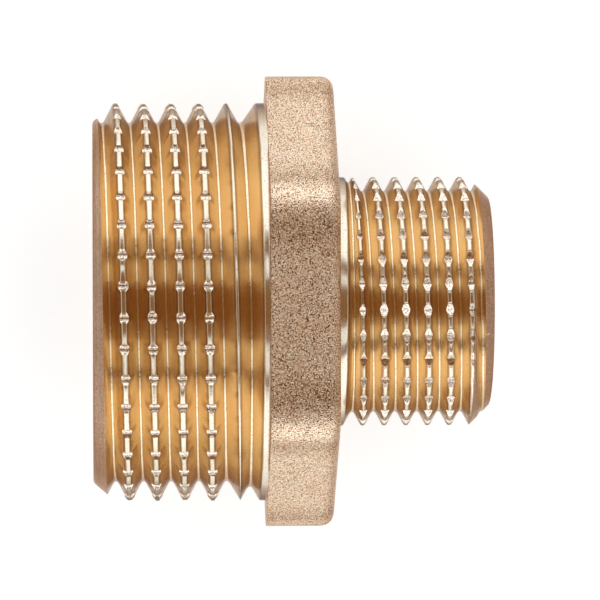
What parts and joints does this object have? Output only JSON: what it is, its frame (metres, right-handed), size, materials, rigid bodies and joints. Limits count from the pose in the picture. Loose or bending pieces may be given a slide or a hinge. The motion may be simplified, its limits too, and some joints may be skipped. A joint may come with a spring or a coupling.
{
  "type": "reducing nipple",
  "caption": "Brass pipe nipple with a forged hexagon between a large and a small male pipe thread, joining pipes of different size.",
  "frame": {"origin": "on the nipple's axis, in the plane of the hexagon's shoulder on the large end's side", "axes": "+X along the axis towards the small end, +Z out of one flat of the hexagon, +Y out of one corner"},
  "size_m": [0.0331, 0.0378, 0.0334],
  "materials": {
    "brass": "turned threads and collars, shot-blasted hexagon"
  },
  "bodies": {
    "root": {"nipple_body": "brass"}
  },
  "joints": []
}
